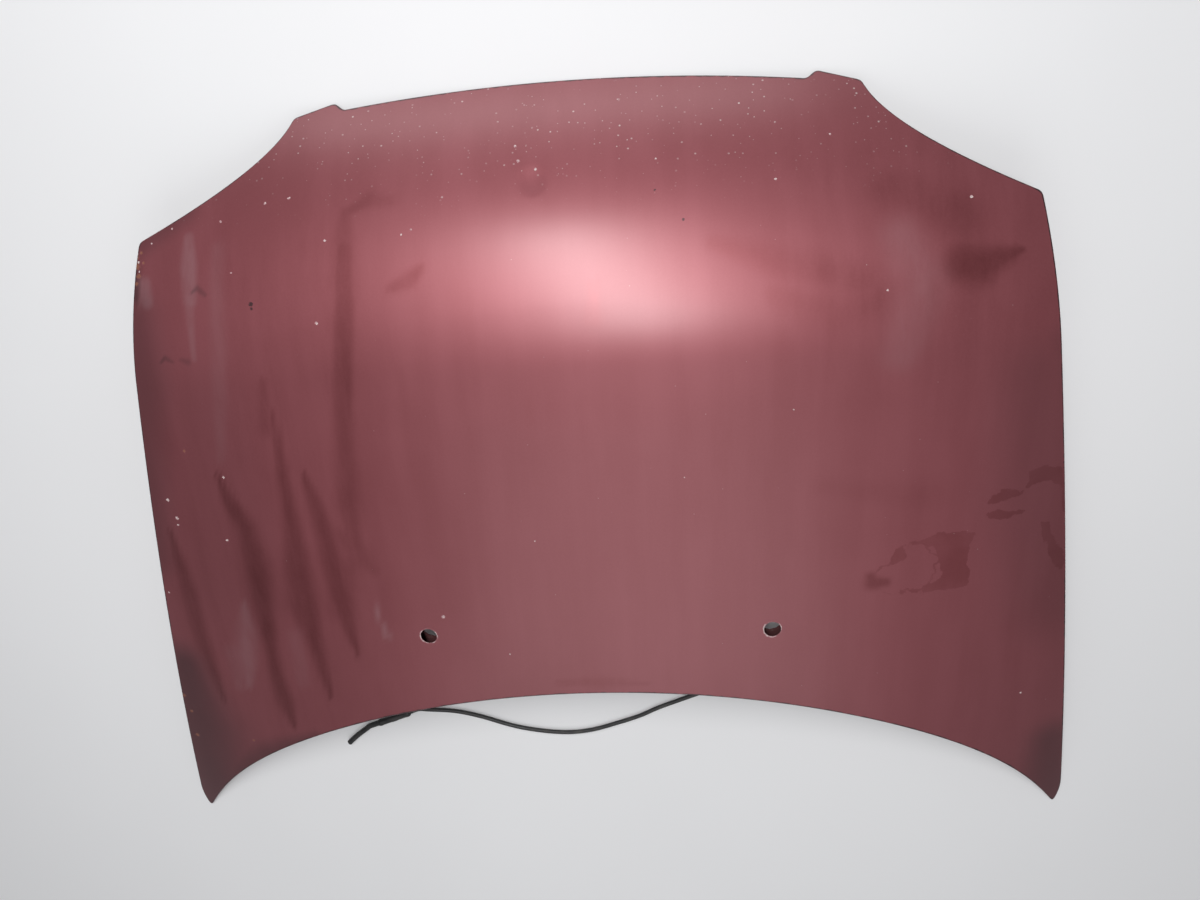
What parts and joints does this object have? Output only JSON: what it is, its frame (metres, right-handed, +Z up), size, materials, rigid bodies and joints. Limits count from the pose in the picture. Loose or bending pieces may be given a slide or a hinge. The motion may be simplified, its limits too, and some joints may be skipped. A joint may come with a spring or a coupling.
{
  "type": "car bonnet",
  "caption": "Pressed steel car bonnet with hemmed outer skin, inner frame, hinge and lock reinforcements, striker loop, buffers and a loose washer hose, lying underside down.",
  "frame": {"origin": "middle of the bounding box in plan, at the level that the bonnet lies on", "axes": "+Z up from the floor out through the outer face, +Y towards the nose, +X towards the right as seen from behind the rear edge"},
  "size_m": [1.2964, 1.0261, 0.1379],
  "materials": {
    "paint": "faded metallic dark red paint under dust",
    "frame_paint": "thin body colour over primer, dusty",
    "zinc": "zinc plated, dull",
    "rubber": "black rubber, matt",
    "plastic": "black nylon",
    "mastic": "grey anti-flutter mastic",
    "hose": "black rubber hose, matt"
  },
  "bodies": {
    "root": {"buffer_left": "rubber", "buffer_right": "rubber", "hinge_nut_left_front": "zinc", "hinge_nut_left_rear": "zinc", "hinge_nut_right_front": "zinc", "hinge_nut_right_rear": "zinc", "hinge_reinforcement_left": "frame_paint", "hinge_reinforcement_right": "frame_paint", "hose_grommet": "rubber", "hose_joiner": "rubber", "hose_stub": "hose", "inner_frame": "frame_paint", "latch_reinforcement": "frame_paint", "mastic_front_inner_front_left": "mastic", "mastic_front_inner_front_right": "mastic", "mastic_front_inner_rear_left": "mastic", "mastic_front_inner_rear_right": "mastic", "mastic_front_outer_front_left": "mastic", "mastic_front_outer_front_right": "mastic", "mastic_front_outer_rear_left": "mastic", "mastic_front_outer_rear_right": "mastic", "mastic_rear_inner_front_left": "mastic", "mastic_rear_inner_front_right": "mastic", "mastic_rear_inner_rear_left": "mastic", "mastic_rear_inner_rear_right": "mastic", "mastic_rear_outer_front_left": "mastic", "mastic_rear_outer_front_right": "mastic", "mastic_rear_outer_rear_left": "mastic", "mastic_rear_outer_rear_right": "mastic", "outer_skin": "paint", "stay_socket": "plastic", "striker_bolt_left": "zinc", "striker_bolt_right": "zinc", "striker_loop": "zinc", "striker_nut_left": "zinc", "striker_nut_right": "zinc", "striker_plate": "zinc", "washer_hose": "hose"}
  },
  "joints": []
}
